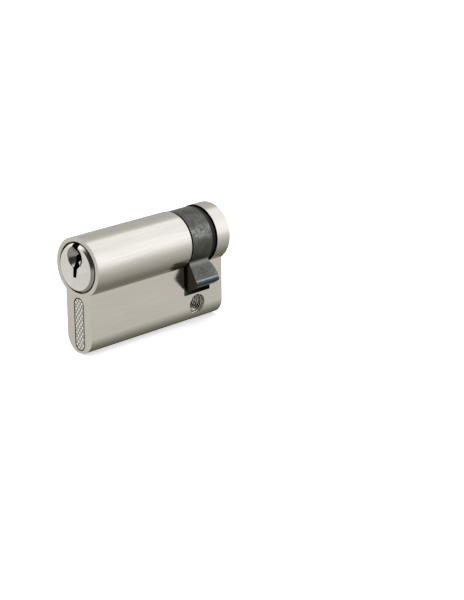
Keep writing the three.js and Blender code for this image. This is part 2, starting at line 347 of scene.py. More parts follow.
def prism(name, outline, y0, y1):
    """A closed outline of (x, z) from the barrel's axis, between two values of y."""
    vertices = [(x, y, AXIS_Z + z) for y in (y0, y1) for x, z in outline]
    return mesh_object(name, vertices, extruded_faces(len(outline)))


def block(name, low, high):
    foot, head = low[2] - AXIS_Z, high[2] - AXIS_Z
    outline = [(low[0], foot), (high[0], foot), (high[0], head), (low[0], head)]
    return prism(name, outline, low[1], high[1])


def lathe(name, profile, sides=ROUND):
    """A profile of (radius, y) turned round the barrel's axis, closed or from the axis and back to it."""
    closed = profile[0][0] != 0
    inner = profile if closed else profile[1:-1]
    vertices, faces, count = [], [], len(inner)
    for i in range(sides):
        a = TURN * i / sides
        for r, y in inner:
            vertices.append((r * math.cos(a), y, AXIS_Z + r * math.sin(a)))
    for i in range(sides):
        j = (i + 1) % sides
        for k in range(count if closed else count - 1):
            n = (k + 1) % count
            faces.append((i * count + k, j * count + k, j * count + n, i * count + n))
    if not closed:
        faces.append(tuple(i * count for i in range(sides)))
        faces.append(tuple(i * count + count - 1 for i in range(sides)))
    return mesh_object(name, vertices, faces)


def post(name, rings, y=0.0, sides=48):
    """A turned piece that stands along Z: rings of (radius, z) from the bottom up."""
    vertices = []
    for r, z in rings:
        for i in range(sides):
            a = TURN * i / sides
            vertices.append((r * math.cos(a), y + r * math.sin(a), z))
    return mesh_object(name, vertices, stacked_faces(len(rings), sides))


def cross_hole(name, rings, sides=64):
    """A turned tool along X through the fixing hole: rings of (radius, x)."""
    vertices = []
    for r, x in rings:
        for i in range(sides):
            a = TURN * i / sides
            vertices.append((x, r * math.cos(a), r * math.sin(a)))
    return mesh_object(name, vertices, stacked_faces(len(rings), sides))


# ---- Shader nodes ----

class Nodes:
    """A short way to write a node tree."""

    def __init__(self, tree):
        self.tree = tree

    def add(self, kind, **settings):
        node = self.tree.nodes.new(kind)
        for key, value in settings.items():
            setattr(node, key, value)
        return node

    def link(self, source, target):
        self.tree.links.new(source, target)

    def math(self, operation, a, b=0.0):
        node = self.add("ShaderNodeMath", operation=operation)
        for i, value in enumerate((a, b)):
            if isinstance(value, (int, float)):
                node.inputs[i].default_value = value
            else:
                self.link(value, node.inputs[i])
        return node.outputs["Value"]

    def remap(self, value, low, high, out_low=0.0, out_high=1.0, **settings):
        node = self.add("ShaderNodeMapRange", **settings)
        for key, number in zip(("From Min", "From Max", "To Min", "To Max"), (low, high, out_low, out_high)):
            node.inputs[key].default_value = number
        self.link(value, node.inputs["Value"])
        return node.outputs["Result"]

    def mix(self, factor, first, second):
        """Each side is a colour, a grey level or a socket."""
        node = self.add("ShaderNodeMix", data_type="RGBA")
        self.link(factor, node.inputs["Factor"])
        for socket, color in ((node.inputs[6], first), (node.inputs[7], second)):
            if isinstance(color, tuple):
                socket.default_value = (*color, 1.0)
            elif isinstance(color, float):
                socket.default_value = (color, color, color, 1.0)
            else:
                self.link(color, socket)
        return node.outputs[2]

    def ramp(self, value, stops):
        node = self.add("ShaderNodeValToRGB")
        elements = node.color_ramp.elements
        while len(elements) < len(stops):
            elements.new(0.5)
        for element, (at, color) in zip(elements, stops):
            element.position = at
            element.color = (*color, 1.0)
        self.link(value, node.inputs["Fac"])
        return node.outputs["Color"]


class Finish(Nodes):
    """A node material whose noise and masks are set by the place on the object."""

    def __init__(self, name):
        self.material = bpy.data.materials.new(name)
        self.material.use_nodes = True
        super().__init__(self.material.node_tree)
        self.shader = self.tree.nodes["Principled BSDF"]
        self.place = self.add("ShaderNodeTexCoord").outputs["Object"]

    def split(self):
        node = self.add("ShaderNodeSeparateXYZ")
        self.link(self.place, node.inputs[0])
        return node.outputs[0], node.outputs[1], node.outputs[2]

    def noise(self, scale, detail=3.0, rough=0.5, distortion=0.0, turn=(0.0, 0.0, 0.0)):
        stretched = self.add("ShaderNodeMapping")
        stretched.inputs["Scale"].default_value = scale
        stretched.inputs["Rotation"].default_value = turn
        self.link(self.place, stretched.inputs["Vector"])
        node = self.add("ShaderNodeTexNoise")
        node.inputs["Scale"].default_value = 1.0
        node.inputs["Detail"].default_value = detail
        node.inputs["Roughness"].default_value = rough
        node.inputs["Distortion"].default_value = distortion
        self.link(stretched.outputs["Vector"], node.inputs["Vector"])
        return node.outputs["Fac"]

    def minus(self, a, b):
        return self.math("SUBTRACT", a, b)

    def size(self, a):
        return self.math("ABSOLUTE", a)

    def length(self, a, b):
        return self.math("SQRT", self.math("ADD", self.math("MULTIPLY", a, a), self.math("MULTIPLY", b, b)))

    def weighted(self, a, b, share):
        """The first value with a share of the second one."""
        return self.math("ADD", self.math("MULTIPLY", a, 1 - share), self.math("MULTIPLY", b, share))

    def above(self, value, limit):
        return self.math("GREATER_THAN", value, limit)

    def below(self, value, limit):
        return self.math("LESS_THAN", value, limit)

    def both(self, a, b):
        return self.math("MULTIPLY", a, b)

    def either(self, a, b):
        return self.math("MAXIMUM", a, b)

    def rougher(self, rough, where, amount):
        return self.math("ADD", rough, self.math("MULTIPLY", where, amount))

    def bump(self, heights):
        """Heights are pairs of a value and the depth in metres that it stands for."""
        normal = None
        for value, depth in heights:
            node = self.add("ShaderNodeBump")
            node.inputs["Strength"].default_value = 1.0
            node.inputs["Distance"].default_value = depth
            self.link(value, node.inputs["Height"])
            if normal is not None:
                self.link(normal, node.inputs["Normal"])
            normal = node.outputs["Normal"]
        self.link(normal, self.shader.inputs["Normal"])

    def metal(self, color, roughness):
        self.shader.inputs["Metallic"].default_value = 1.0
        self.link(color, self.shader.inputs["Base Color"])
        self.link(roughness, self.shader.inputs["Roughness"])


# ---- Materials ----

# How near to a wall a point has to be to count as on it
SKIN = 0.06 * MM

# Where nearly all of a noise's values lie
NOISE_LOW, NOISE_HIGH = 0.3, 0.7

NICKEL_DARK = (0.575, 0.540, 0.462)
NICKEL_LIGHT = (0.690, 0.655, 0.580)
# Painted light: the raised field is painted lighter, for the light that its raised pattern catches
PAD_PAINTED_LIGHT = (0.86, 0.83, 0.76)
# Painted light: the fixing hole is painted lighter than the plate, for the light that its walls shut out
HOLE_PAINTED_LIGHT = (0.93, 0.90, 0.82)
# Painted shade in the engraved frame's line and in the knurl's grooves, darker with depth
ENGRAVED_SHADE = (0.10, 0.09, 0.075)
# Painted shade: a near-black colour on the walls of the slot, the bore, the thread's roots, the keyway and
# the pin chambers, where shade falls
INSIDE_SHADE = (0.020, 0.018, 0.014)
ENGRAVED_FROM = 0.01 * MM
ENGRAVED_FULL = 0.34 * MM
SATIN_ROUGH = (0.20, 0.13)
HOLE_ROUGHER = 0.25


def nickel_inside(n, x, y, z, radius):
    """The masks of the painted shade on the walls in slot, bore and thread, of the fixing hole's painted
    light, and of its mouths alone.
    """
    across = n.size(x)
    walls = n.either(n.below(radius, BARREL_R - 4 * SKIN), n.below(across, STEM_HALF - 3 * SKIN))
    in_slot = n.both(n.below(n.size(y), SLOT_HALF + SKIN), n.above(z, SLOT_FLOOR - SKIN))
    slot = n.both(in_slot, walls)
    keyed_side = n.both(n.above(y, FRONT_Y + SEAT_DEPTH - 3 * SKIN), n.below(y, 0.0))
    bore = n.both(n.below(radius, SEAT_R - SKIN), keyed_side)
    reach = n.length(y, z)
    thread = n.both(n.below(reach, HOLE_R + 2 * SKIN), n.below(across, THREAD_HALF + SKIN))
    root = n.remap(reach, THREAD_CORE_R + SKIN, THREAD_ROOT_R - SKIN)
    hole = n.both(n.below(reach, MOUTH_R + SKIN), n.below(across, STEM_HALF - 2 * SKIN))
    mouth = n.both(hole, n.above(across, THREAD_HALF))
    return n.either(n.either(slot, bore), n.both(thread, root)), hole, mouth


def nickel_front(n, x, y, z):
    """The masks of the engraved frame's painted shade, by its depth, and of the raised field in it, which is
    painted lighter.
    """
    on_front = n.below(y, FRONT_Y + MM)
    in_frame = n.both(n.below(n.size(x), FRAME_HALF + SKIN), n.below(z, AXIS_Z + FRAME_TOP + SKIN))
    deep = n.both(n.minus(y, FRONT_Y), in_frame)
    engraved = n.both(n.remap(deep, ENGRAVED_FROM, ENGRAVED_FULL), on_front)
    past_straight = n.either(n.minus(n.size(n.minus(z, PAD_MIDDLE)), PAD_REACH), 0.0)
    pad = n.both(n.below(n.length(x, past_straight), FRAME_HALF - FRAME_LINE), on_front)
    return engraved, pad


def satin_nickel():
    """Nickel plate brushed along the barrel, with painted shade in the slot, the bore, the thread and the
    engraved frame, and painted light on the raised field and in the fixing hole.
    """
    n = Finish("satin_nickel")
    fine = n.noise((5200, 90, 5200), rough=0.6)
    broad = n.noise((1500, 28, 1500), rough=0.55)
    cloud = n.noise((140, 60, 140))
    lines = n.weighted(fine, broad, 0.35)
    mixed = n.weighted(lines, cloud, 0.3)
    color = n.ramp(mixed, [(0.26, NICKEL_DARK), (0.74, NICKEL_LIGHT)])
    rough = n.remap(mixed, NOISE_LOW, NOISE_HIGH, *SATIN_ROUGH)
    x, y, z = n.split()
    radius = n.length(x, n.minus(z, AXIS_Z))
    inside, hole, mouth = nickel_inside(n, x, y, z, radius)
    engraved, pad = nickel_front(n, x, y, z)
    # painted light on the raised field
    color = n.mix(pad, color, PAD_PAINTED_LIGHT)
    # painted shade in the engraved frame and the knurl's grooves, by depth
    color = n.mix(engraved, color, ENGRAVED_SHADE)
    # painted light in the fixing hole
    color = n.mix(hole, color, HOLE_PAINTED_LIGHT)
    # painted shade on the walls of the slot and the bore and in the thread's roots
    color = n.mix(inside, color, INSIDE_SHADE)
    n.metal(color, n.rougher(rough, n.either(inside, mouth), HOLE_ROUGHER))
    n.bump([(lines, 1.4 * MICRON)])
    return n.material


TURNED_DARK = (0.760, 0.725, 0.665)
TURNED_LIGHT = (0.830, 0.800, 0.745)
TURNED_ROUGH = (0.14, 0.22)
KEYWAY_ROUGHER = 0.3


def turned_nickel():
    """The plug's bright plate, with painted shade on the keyway's walls and in the pin chambers."""
    n = Finish("turned_nickel")
    grain = n.noise((3000, 3000, 3000), rough=0.6)
    cloud = n.noise((260, 260, 260))
    color = n.ramp(cloud, [(NOISE_LOW, TURNED_DARK), (NOISE_HIGH, TURNED_LIGHT)])
    rough = n.remap(grain, NOISE_LOW, NOISE_HIGH, *TURNED_ROUGH)
    x, y, z = n.split()
    radius = n.length(x, n.minus(z, AXIS_Z))
    deep = n.minus(y, FACE_Y)
    from_cone_axis = n.length(n.minus(x, LEAD_IN_X), n.minus(z, AXIS_Z + LEAD_IN_Z))
    off_cone = n.size(n.minus(n.math("ADD", from_cone_axis, deep), LEAD_IN_R + LEAD_IN_LIP))
    walls = n.both(n.above(off_cone, SKIN), n.above(deep, SKIN / 2))
    body = n.both(n.below(radius, FACE_R - SKIN), n.below(y, KEYWAY_END + MM))
    inside = n.both(walls, body)
    # painted shade on the keyway's walls and in the pin chambers
    n.metal(n.mix(inside, color, INSIDE_SHADE), n.rougher(rough, inside, KEYWAY_ROUGHER))
    n.bump([(grain, 0.8 * MICRON)])
    return n.material


STEEL_DARK = (0.064, 0.063, 0.052)
STEEL_MIDDLE = (0.092, 0.093, 0.078)
STEEL_LIGHT = (0.145, 0.148, 0.124)
STEEL_ROUGH = (0.36, 0.24)
STROKES_TURN = math.radians(40)
# Painted highlight: a lighter patch, broken up by the strokes, on the side of the ring that faces 24 degrees
# up from +X
RING_HIGHLIGHT = (0.230, 0.240, 0.208)
RING_HIGHLIGHT_AT = math.radians(24)
RING_HIGHLIGHT_SPAN = math.radians(17)
RING_HIGHLIGHT_FULL = 0.995
# Painted highlight: a lighter line along the fillet where the lever meets the ring
FILLET_HIGHLIGHT = (0.24, 0.24, 0.22)
FILLET_FROM, FILLET_FULL = CAM_R + 1.7 * MM, CAM_R + 0.5 * MM
FILLET_SHARE = 0.6
# Painted shade: the lever's tip is painted dark, tinted bluish, so that its rounding shows no light
TIP_SHADE = (0.040, 0.052, 0.060)
TIP_SHADE_FROM, TIP_SHADE_FULL = LEVER_R - 1.0 * MM, LEVER_R - 0.6 * MM
# Painted highlight: a bluish bright band across the lever's flank near the tip, for the tip edge's highlight
EDGE_HIGHLIGHT = (0.23, 0.275, 0.285)
EDGE_HIGHLIGHT_INNER_FROM, EDGE_HIGHLIGHT_INNER_FULL = LEVER_R - 1.4 * MM, LEVER_R - 1.25 * MM
EDGE_HIGHLIGHT_OUTER_FROM, EDGE_HIGHLIGHT_OUTER_FULL = LEVER_R - 0.8 * MM, LEVER_R - 1.0 * MM
# Painted shade: the collar behind the ring, down in the slot, is painted near-black
COLLAR_SHADE = (0.022, 0.017, 0.014)
# Painted shade: the cam's front face, across a narrow gap from the slot's front wall, is painted near-black
RING_FRONT_SHADE = (0.012, 0.010, 0.008)
# Painted reflection: the lever's front face is painted a lighter brown, for the brown slot that it reflects
LEVER_FRONT_REFLECTION = (0.155, 0.132, 0.100)


def dark_steel():
    """Blackened steel: cloudy, with painted highlights on the ring, along the lever's fillet and near its
    tip, painted shade on the tip, the collar and the ring's front, and a painted brown reflection on the
    lever's front.
    """
    n = Finish("dark_steel")
    cloud = n.noise((420, 420, 420), detail=5.0, rough=0.62, distortion=0.4)
    turn = (STROKES_TURN, 0.0, 0.0)
    strokes = n.noise((3200, 900, 900), detail=4.0, rough=0.65, distortion=0.6, turn=turn)
    mixed = n.weighted(cloud, strokes, 0.45)
    color = n.ramp(mixed, [(0.32, STEEL_DARK), (0.50, STEEL_MIDDLE), (0.68, STEEL_LIGHT)])
    x, y, z = n.split()
    height = n.minus(z, AXIS_Z)
    radius = n.length(x, height)
    # painted highlight: a lighter patch on one side of the ring
    beside = n.math("MULTIPLY", x, math.cos(RING_HIGHLIGHT_AT))
    over = n.math("MULTIPLY", height, math.sin(RING_HIGHLIGHT_AT))
    facing = n.math("DIVIDE", n.math("ADD", beside, over), radius)
    patch = n.remap(facing, math.cos(RING_HIGHLIGHT_SPAN), RING_HIGHLIGHT_FULL)
    ring_highlight = n.both(patch, n.remap(strokes, 0.42, 0.62, 0.15, 1.0))
    color = n.mix(n.both(ring_highlight, n.below(radius, CAM_R + SKIN)), color, RING_HIGHLIGHT)
    # painted highlight along the lever's fillet at the ring
    fillet = n.remap(radius, FILLET_FROM, FILLET_FULL, 0.0, FILLET_SHARE)
    color = n.mix(n.both(fillet, n.above(radius, CAM_R + 2 * SKIN)), color, FILLET_HIGHLIGHT)
    # painted shade on the lever's tip
    color = n.mix(n.remap(radius, TIP_SHADE_FROM, TIP_SHADE_FULL), color, TIP_SHADE)
    # painted highlight of the tip's edge: a band on the flank, mottled by the clouds
    inner = n.remap(radius, EDGE_HIGHLIGHT_INNER_FROM, EDGE_HIGHLIGHT_INNER_FULL)
    outer = n.remap(radius, EDGE_HIGHLIGHT_OUTER_FROM, EDGE_HIGHLIGHT_OUTER_FULL)
    color = n.mix(n.both(n.both(inner, outer), n.remap(cloud, 0.35, 0.6, 0.5, 1.0)), color, EDGE_HIGHLIGHT)
    # painted shade on the collar behind the ring
    collar = n.both(n.above(y, COLLAR_Y + SKIN), n.below(radius, COLLAR_R + SKIN))
    color = n.mix(collar, color, COLLAR_SHADE)
    # painted shade on the cam's front face
    front = n.below(y, CAM_LOW.y + SKIN / 4)
    color = n.mix(front, color, RING_FRONT_SHADE)
    # painted brown reflection on the lever's front face
    color = n.mix(n.both(front, n.above(radius, CAM_R + SKIN)), color, LEVER_FRONT_REFLECTION)
    n.metal(color, n.remap(mixed, NOISE_LOW, NOISE_HIGH, *STEEL_ROUGH))
    n.bump([(strokes, 1.8 * MICRON), (cloud, 5.0 * MICRON)])
    return n.material


WIRE_DARK = (0.42, 0.43, 0.44)
WIRE_LIGHT = (0.60, 0.61, 0.62)
WIRE_ROUGH = (0.32, 0.20)


def spring_steel():
    n = Finish("spring_steel")
    drawn = n.noise((2400, 2400, 300))
    color = n.ramp(drawn, [(NOISE_LOW, WIRE_DARK), (NOISE_HIGH, WIRE_LIGHT)])
    n.metal(color, n.remap(drawn, NOISE_LOW, NOISE_HIGH, *WIRE_ROUGH))
    n.bump([(drawn, 0.8 * MICRON)])
    return n.material


BRASS_DARK = (0.62, 0.43, 0.16)
BRASS_LIGHT = (0.80, 0.60, 0.28)
BRASS_ROUGH = (0.30, 0.18)


def pin_brass():
    n = Finish("pin_brass")
    rings = n.noise((300, 300, 6500))
    color = n.ramp(rings, [(NOISE_LOW, BRASS_DARK), (NOISE_HIGH, BRASS_LIGHT)])
    n.metal(color, n.remap(rings, NOISE_LOW, NOISE_HIGH, *BRASS_ROUGH))
    n.bump([(rings, 1.2 * MICRON)])
    return n.material


FLOOR_DARK = (0.90, 0.90, 0.90)
FLOOR_LIGHT = (0.93, 0.93, 0.93)
FLOOR_GLOW = 0.55
FLOOR_ROUGH = 0.9


def pale_floor():
    n = Finish("pale_floor")
    cloud = n.noise((18, 18, 18))
    color = n.ramp(cloud, [(NOISE_LOW, FLOOR_DARK), (NOISE_HIGH, FLOOR_LIGHT)])
    n.link(color, n.shader.inputs["Base Color"])
    n.link(color, n.shader.inputs["Emission Color"])
    n.shader.inputs["Emission Strength"].default_value = FLOOR_GLOW
    n.shader.inputs["Roughness"].default_value = FLOOR_ROUGH
    return n.material


# ---- Housing ----

def stem_outline():
    seam = math.asin(math.sqrt(BARREL_R ** 2 - STEM_HALF ** 2) / BARREL_R)
    bottom = STEM_ROUND_Z - AXIS_Z
    barrel = arc(0, 0, BARREL_R, -seam, math.pi + seam, ROUND)
    return barrel + arc(0, bottom, STEM_HALF, math.pi, TURN, ROUND // 3)


def stadium(half, bottom, top, steps=20):
    return arc(0, top - half, half, 0, math.pi, steps) + arc(0, bottom + half, half, math.pi, TURN, steps)


def frame_pocket():
    outline = stadium(FRAME_HALF, FRAME_BOTTOM, FRAME_TOP)
    return prism("pocket", outline, FRONT_Y - PAST, FRONT_Y + POCKET_DEPTH)


def knurl_height(x, z):
    """0 on the flat top of each small diamond and 1 in the grooves that cross between them."""
    u = (x / KNURL_WIDE + z / KNURL_TALL) % 1.0
    v = (x / KNURL_WIDE - z / KNURL_TALL) % 1.0
    return max(max(abs(2 * u - 1), abs(2 * v - 1)) * KNURL_SLOPE - (KNURL_SLOPE - 1), 0.0)


def knurled_pad():
    """The raised field inside the frame: rows of small diamonds, as a closed shell in the pocket."""
    dx, dz = KNURL_WIDE / KNURL_STEPS, KNURL_TALL / KNURL_STEPS
    columns = math.ceil(FRAME_HALF / dx)
    middle = (FRAME_TOP + FRAME_BOTTOM) / 2
    rows = math.ceil((FRAME_TOP - FRAME_BOTTOM) / 2 / dz)
    back = FRONT_Y + POCKET_DEPTH + PAD_BACKING
    grid = [(i * dx, j * dz) for j in range(-rows, rows + 1) for i in range(-columns, columns + 1)]
    wide = 2 * columns + 1
    vertices = [(x, FRONT_Y + KNURL_DEPTH * knurl_height(x, z), AXIS_Z + middle + z) for x, z in grid]
    vertices += [(x, back, AXIS_Z + middle + z) for x, z in grid]
    count = len(grid)
    faces = []
    for j in range(2 * rows):
        for i in range(2 * columns):
            a = j * wide + i
            b, c, d = a + 1, a + wide + 1, a + wide
            if (i + j) % 2:
                faces += [(a, b, c), (a, c, d)]
            else:
                faces += [(a, b, d), (b, c, d)]
            faces.append((count + a, count + d, count + c, count + b))
    for j in range(2 * rows):
        for a in (j * wide, (j + 1) * wide - 1):
            faces.append((a, a + wide, count + a + wide, count + a))
    for i in range(2 * columns):
        for a in (i, 2 * rows * wide + i):
            faces.append((a, a + 1, count + a + 1, count + a))
    pad = mesh_object("knurled_pad", vertices, faces)
    inside = stadium(FRAME_HALF - FRAME_LINE, FRAME_BOTTOM + FRAME_LINE, FRAME_TOP - FRAME_LINE)
    return join_solid(pad, prism("pad_outline", inside, FRONT_Y - PAST, back + PAST), "INTERSECT")


def thread_rise(phase):
    """0 on the thread's crest and 1 at its root, by the place within one pitch."""
    steepness, crest = 2.6, 0.2
    return min(max(abs(phase - 0.5) * steepness - crest, 0.0), 1.0)


def thread_sleeve():
    """The fixing hole's M5 thread, as a closed tube with the helical groove on its inside."""
    around, per_pitch = 64, 10
    rows = int(2 * THREAD_HALF / THREAD_PITCH * per_pitch)
    vertices, faces = [], []
    for k in range(rows + 1):
        x = -THREAD_HALF + 2 * THREAD_HALF * k / rows
        for i in range(around):
            a = TURN * i / around
            rise = thread_rise((x / THREAD_PITCH - i / around) % 1.0)
            r = THREAD_CORE_R + (THREAD_ROOT_R - THREAD_CORE_R) * rise
            vertices.append((x, r * math.cos(a), r * math.sin(a)))
    outer = len(vertices)
    for x in (-THREAD_HALF, THREAD_HALF):
        for i in range(around):
            a = TURN * i / around
            vertices.append((x, HOLE_R * math.cos(a), HOLE_R * math.sin(a)))
    last = rows * around
    for i in range(around):
        j = (i + 1) % around
        for k in range(rows):
            faces.append((k * around + i, k * around + j, (k + 1) * around + j, (k + 1) * around + i))
        faces.append((outer + i, outer + j, outer + around + j, outer + around + i))
        faces.append((i, j, outer + j, outer + i))
        faces.append((last + i, last + j, outer + around + j, outer + around + i))
    return mesh_object("fixing_thread", vertices, faces)


def cut_fixing_hole(body):
    past = STEM_HALF + PAST
    mouth = STEM_HALF - MOUTH_DEPTH
    cut(body, cross_hole("fixing_hole", [
        (MOUTH_R, -past), (MOUTH_R, -mouth), (HOLE_R, -THREAD_HALF),
        (HOLE_R, THREAD_HALF), (MOUTH_R, mouth), (MOUTH_R, past)]))


def make_housing(material):
    body = prism("housing_body", stem_outline(), FRONT_Y, REAR_Y)
    wide = 2 * BARREL_R
    cut(body, block("slot", (-wide, -SLOT_HALF, SLOT_FLOOR), (wide, SLOT_HALF, AXIS_Z + wide)))
    front = FRONT_Y - PAST
    cut(body, lathe("bore", [(0, front), (BORE_R, front), (BORE_R, 0), (0, 0)]))
    seat = FRONT_Y + SEAT_DEPTH
    cut(body, lathe("seat", [(0, front), (SEAT_R, front), (SEAT_R, seat), (0, seat)]))
    cut_fixing_hole(body)
    for i in range(PIN_COUNT):
        rings = [(CHAMBER_R, STEM_BOTTOM - PAST), (CHAMBER_R, AXIS_Z - BORE_R + PAST)]
        cut(body, post("chamber", rings, y=pin_y(i)))
    clean(body)
    soften(body, HOUSING_EDGE)
    cut(body, frame_pocket())
    shade(body)
    thread = thread_sleeve()
    shade(thread)
    pad = knurled_pad()
    shade(pad, math.radians(12))
    join_shells(body, [thread, pad])
    return place(body, "housing", "satin_nickel", material, "housing")


def make_chamber_plug(index, material):
    """A short stopper, flush with the stem's round bottom."""
    node = f"chamber_plug_{index + 1}"
    low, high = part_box(node)
    radius = (high.x - low.x) / 2
    piece = post(f"{node}_turned", [(radius, low.z - PAST), (radius, high.z)], y=middle_y(low, high))
    rounding = circle(0, STEM_ROUND_Z - AXIS_Z, STEM_HALF - STOPPER_INSET, ROUND)
    join_solid(piece, prism("round", rounding, FRONT_Y, REAR_Y), "INTERSECT")
    clean(piece)
    soften(piece, THIN_EDGE, 2)
    shade(piece)
    return place(piece, "housing", "satin_nickel", material, node)


# ---- Plug ----

def keyway_outline():
    above = HEAD_R / MM + 1
    top = [
        (KEYWAY_OPEN_RIGHT, KEYWAY_OPEN_RIGHT_FOOT), (KEYWAY_OPEN_RIGHT, above),
        (KEYWAY_OPEN_LEFT, above), (KEYWAY_OPEN_LEFT, KEYWAY_OPEN_LEFT_FOOT)]
    return [(x * MM, z * MM) for x, z in KEYWAY_RIGHT + top + KEYWAY_LEFT]


def lead_in_tool():
    lip, tip = FACE_Y + LEAD_IN_LIP, FACE_Y + LEAD_IN_LIP + LEAD_IN_R
    front = FACE_Y - PAST
    profile = [(0, front), (LEAD_IN_R, front), (LEAD_IN_R, lip), (LEAD_IN_POINT, tip), (0, tip)]
    tool = lathe("lead_in", profile, 96)
    tool.data.transform(Matrix.Translation((LEAD_IN_X, 0, LEAD_IN_Z)))
    return tool


def make_plug(material):
    back = FRONT_Y + SEAT_DEPTH - HEAD_BACK_GAP
    clip_low, clip_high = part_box("retaining_clip")
    groove_front, groove_rear = clip_low.y - SIDE_GAP, clip_high.y + SIDE_GAP
    body = lathe("plug_body", [
        (0, FACE_Y), (FACE_R, FACE_Y), (HEAD_R, FRONT_Y), (HEAD_R, back), (PLUG_R, back),
        (PLUG_R, SHOULDER_Y), (TAIL_R, SHOULDER_Y), (TAIL_R, groove_front), (GROOVE_R, groove_front),
        (GROOVE_R, groove_rear), (TAIL_R, groove_rear), (TAIL_R, PLUG_HIGH.y), (0, PLUG_HIGH.y)])
    cut(body, lead_in_tool())
    cut(body, prism("keyway", keyway_outline(), FACE_Y - PAST, KEYWAY_END))
    bar_low, bar_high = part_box("cam_coupling")
    slot_low = (-2 * TAIL_R, bar_low.y - SIDE_GAP, bar_low.z - SIDE_GAP)
    slot_high = (2 * TAIL_R, PLUG_HIGH.y + PAST, bar_high.z + SIDE_GAP)
    cut(body, block("bar_slot", slot_low, slot_high))
    for i in range(PIN_COUNT):
        rings = [(CHAMBER_R, AXIS_Z - PLUG_R - PAST), (CHAMBER_R, AXIS_Z + CHAMBER_TOP)]
        cut(body, post("chamber", rings, y=pin_y(i)))
    clean(body)
    soften(body, PLUG_EDGE)
    shade(body)
    return place(body, "plug", "bright_nickel", material, "plug")


def make_clip(material):
    low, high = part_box("retaining_clip")
    start, end = -math.pi / 2 + CLIP_HALF_GAP, 1.5 * math.pi - CLIP_HALF_GAP
    outline = arc(0, 0, CLIP_OUTER_R, start, end, 72) + arc(0, 0, CLIP_INNER_R, end, start, 72)
    piece = prism("clip_ring", outline, low.y, high.y)
    middle = (CLIP_INNER_R + CLIP_OUTER_R) / 2
    for side in (start + CLIP_EYE_TURN, end - CLIP_EYE_TURN):
        ring = circle(middle * math.cos(side), middle * math.sin(side), CLIP_EYE_R, 24)
        cut(piece, prism("eye", ring, low.y - PAST, high.y + PAST))
    soften(piece, THIN_EDGE, 2)
    shade(piece)
    return place(piece, "plug", "spring_steel", material, "retaining_clip")


def make_coupling(material):
    low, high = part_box("cam_coupling")
    piece = block("coupling_bar", low, high)
    soften(piece, BAR_EDGE)
    shade(piece)
    return place(piece, "plug", "spring_steel", material, "cam_coupling")


# ---- Cam ----

def lever_outline():
    """Straight down: parallel sides with a fillet at the ring, and a tip round the barrel's axis."""
    x = LEVER_HALF + LEVER_FILLET
    z = -math.sqrt((CAM_R + LEVER_FILLET) ** 2 - x ** 2)
    to_ring = math.atan2(-z, x)
    corner_x = LEVER_HALF - LEVER_CORNER
    corner_z = -math.sqrt((LEVER_R - LEVER_CORNER) ** 2 - corner_x ** 2)
    out = math.atan2(corner_z, corner_x)
    down = -math.pi / 2
    points = [(0, LEVER_TOP)]
    points += arc(-x, z, LEVER_FILLET, to_ring, 0, 14)
    points += arc(-corner_x, corner_z, LEVER_CORNER, math.pi, math.pi - out, 8)
    points += arc(0, 0, LEVER_R, 2 * down - out, out, 16)[1:-1]
    points += arc(corner_x, corner_z, LEVER_CORNER, out, 0, 8)
    points += arc(x, z, LEVER_FILLET, math.pi, math.pi - to_ring, 14)
    return points


def lever_side_tool(front):
    """What is kept of the lever seen from the side: square in front, swelling behind the ring."""
    steps = 28
    top, bottom = LEVER_TOP + PAST, -LEVER_R - PAST
    points = [(front, top), (front, bottom), (LEVER_TIP_Y, bottom)]
    for i in range(steps + 1):
        t = i / steps
        r = (1 - t) ** 2 * LEVER_R + 2 * t * (1 - t) * LEVER_SWELL_R + t ** 2 * CAM_R
        y = (1 - t) ** 2 * LEVER_TIP_Y + 2 * t * (1 - t) * LEVER_SWELL_Y + t ** 2 * LEVER_ROOT_Y
        points.append((y, -r))
    points.append((LEVER_ROOT_Y, top))
    vertices = [(x, y, AXIS_Z + z) for x in (-LEVER_R, LEVER_R) for y, z in points]
    return mesh_object("lever_side", vertices, extruded_faces(len(points)))


def turn_about_axis(piece, angle):
    about = Matrix.Translation((0, 0, AXIS_Z))
    piece.data.transform(about @ Matrix.Rotation(angle, 4, "Y") @ about.inverted())


def make_cam(material):
    """The lever is made straight down, and the whole cam is turned to its place at the end."""
    front, rear = CAM_LOW.y, CAM_HIGH.y
    ring = lathe("cam_body", [
        (CAM_BORE_R, front), (CAM_R, front), (CAM_R, COLLAR_Y), (COLLAR_R, COLLAR_Y), (COLLAR_R, rear),
        (CAM_EYE_R, rear), (CAM_EYE_R, CAM_BORE_Y), (CAM_BORE_R, CAM_BORE_Y)], CAM_SIDES)
    lever = prism("lever", lever_outline(), front, SLOT_HALF)
    join_solid(lever, lever_side_tool(front), "INTERSECT")
    clear_r, clear_y = CAM_R - MM, 20 * MM
    clear = [(0, -clear_y), (clear_r, -clear_y), (clear_r, clear_y), (0, clear_y)]
    cut(lever, lathe("clear", clear, CAM_SIDES))
    join_solid(ring, lever, "UNION")
    notch_low = (-NOTCH_REACH, front - PAST, AXIS_Z - NOTCH_HALF)
    notch_high = (NOTCH_REACH, CAM_BORE_Y, AXIS_Z + NOTCH_HALF)
    notch = block("notch", notch_low, notch_high)
    turn_about_axis(notch, LEVER_TURN)
    cut(ring, notch)
    clean(ring)
    soften(ring, CAM_EDGE)
    turn_about_axis(ring, -LEVER_TURN)
    shade(ring)
    return place(ring, "cam", "dark_steel", material, "cam")


# ---- Pins and springs ----

